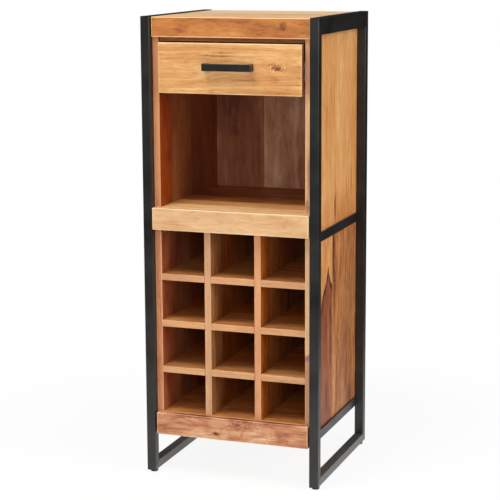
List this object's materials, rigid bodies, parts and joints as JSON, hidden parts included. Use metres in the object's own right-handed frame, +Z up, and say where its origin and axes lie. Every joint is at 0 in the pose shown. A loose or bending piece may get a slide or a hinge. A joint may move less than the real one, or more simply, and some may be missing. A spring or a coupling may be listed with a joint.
{
  "type": "wine cabinet",
  "caption": "Tall narrow wine cabinet: wood boards between black steel side frames, drawer above an open compartment and a grid of bottle cells.",
  "frame": {"origin": "on the floor, under the middle of the whole cabinet with its handle", "axes": "+Z up, -Y towards a person facing the drawer, +X to that person's right"},
  "size_m": [0.45, 0.4376, 1.141],
  "materials": {
    "frame_black": "satin black powder coat",
    "handle_black": "satin black powder coat",
    "glide_plastic": "moulded",
    "runner_steel": "zinc-plated",
    "screw_steel": "zinc-plated",
    "top_wood": "clear lacquer, grain left to right",
    "top_nose_wood": "clear lacquer, grain left to right",
    "shelf_nose_wood": "clear lacquer, grain left to right",
    "apron_wood": "clear lacquer, grain left to right",
    "drawer_front_wood": "clear lacquer, grain left to right",
    "wall_upper_wood": "clear lacquer, upright planks",
    "wall_lower_wood": "clear lacquer, upright planks",
    "shelf_wood": "clear lacquer",
    "rack_wood": "clear lacquer",
    "back_wood": "clear lacquer, upright planks",
    "hidden_wood": "sanded",
    "drawer_box_wood": "sanded",
    "drawer_bottom_ply": "sanded plywood"
  },
  "bodies": {
    "cabinet": {"post_front_left": "frame_black", "post_back_left": "frame_black", "top_rail_left": "frame_black", "floor_rail_left": "frame_black", "middle_bar_left": "frame_black", "lower_bar_left": "frame_black", "glide_front_left": "glide_plastic", "glide_back_left": "glide_plastic", "runner_cabinet_left": "runner_steel", "post_front_right": "frame_black", "post_back_right": "frame_black", "top_rail_right": "frame_black", "floor_rail_right": "frame_black", "middle_bar_right": "frame_black", "lower_bar_right": "frame_black", "glide_front_right": "glide_plastic", "glide_back_right": "glide_plastic", "runner_cabinet_right": "runner_steel", "top_board": "top_wood", "top_nose": "top_nose_wood", "top_batten_left": "hidden_wood", "top_batten_right": "hidden_wood", "top_batten_back": "hidden_wood", "drawer_ceiling": "hidden_wood", "shelf_board": "shelf_wood", "shelf_nose": "shelf_nose_wood", "bottom_board": "shelf_wood", "apron": "apron_wood", "back_panel_lower": "back_wood", "back_panel_upper": "back_wood", "wall_lower_left": "wall_lower_wood", "wall_lower_right": "wall_lower_wood", "wall_upper_left": "wall_upper_wood", "wall_upper_right": "wall_upper_wood", "rack_divider_1": "rack_wood", "rack_divider_2": "rack_wood", "rack_shelf_1": "rack_wood", "rack_shelf_2": "rack_wood", "rack_shelf_3": "rack_wood"},
    "drawer": {"drawer_front": "drawer_front_wood", "drawer_box_front": "drawer_box_wood", "drawer_box_back": "drawer_box_wood", "drawer_side_left": "drawer_box_wood", "drawer_side_right": "drawer_box_wood", "drawer_bottom": "drawer_bottom_ply", "handle": "handle_black", "handle_screw_left": "screw_steel", "handle_screw_right": "screw_steel", "runner_drawer_left": "runner_steel", "runner_drawer_right": "runner_steel"},
    "runner_left": {"runner_middle_left": "runner_steel"},
    "runner_right": {"runner_middle_right": "runner_steel"}
  },
  "joints": [
    {"name": "drawer_slide", "type": "slide", "parent": "cabinet", "child": "drawer", "axis": [0, -1, 0], "range_m": [0, 0.32]},
    {"name": "runner_slide_left", "type": "slide", "parent": "cabinet", "child": "runner_left", "axis": [0, -1, 0], "range_m": [0, 0.16]},
    {"name": "runner_slide_right", "type": "slide", "parent": "cabinet", "child": "runner_right", "axis": [0, -1, 0], "range_m": [0, 0.16]}
  ],
  "couplings": [
    {"joint": "runner_slide_left", "follows": "drawer_slide", "ratio": 0.5},
    {"joint": "runner_slide_right", "follows": "drawer_slide", "ratio": 0.5}
  ]
}
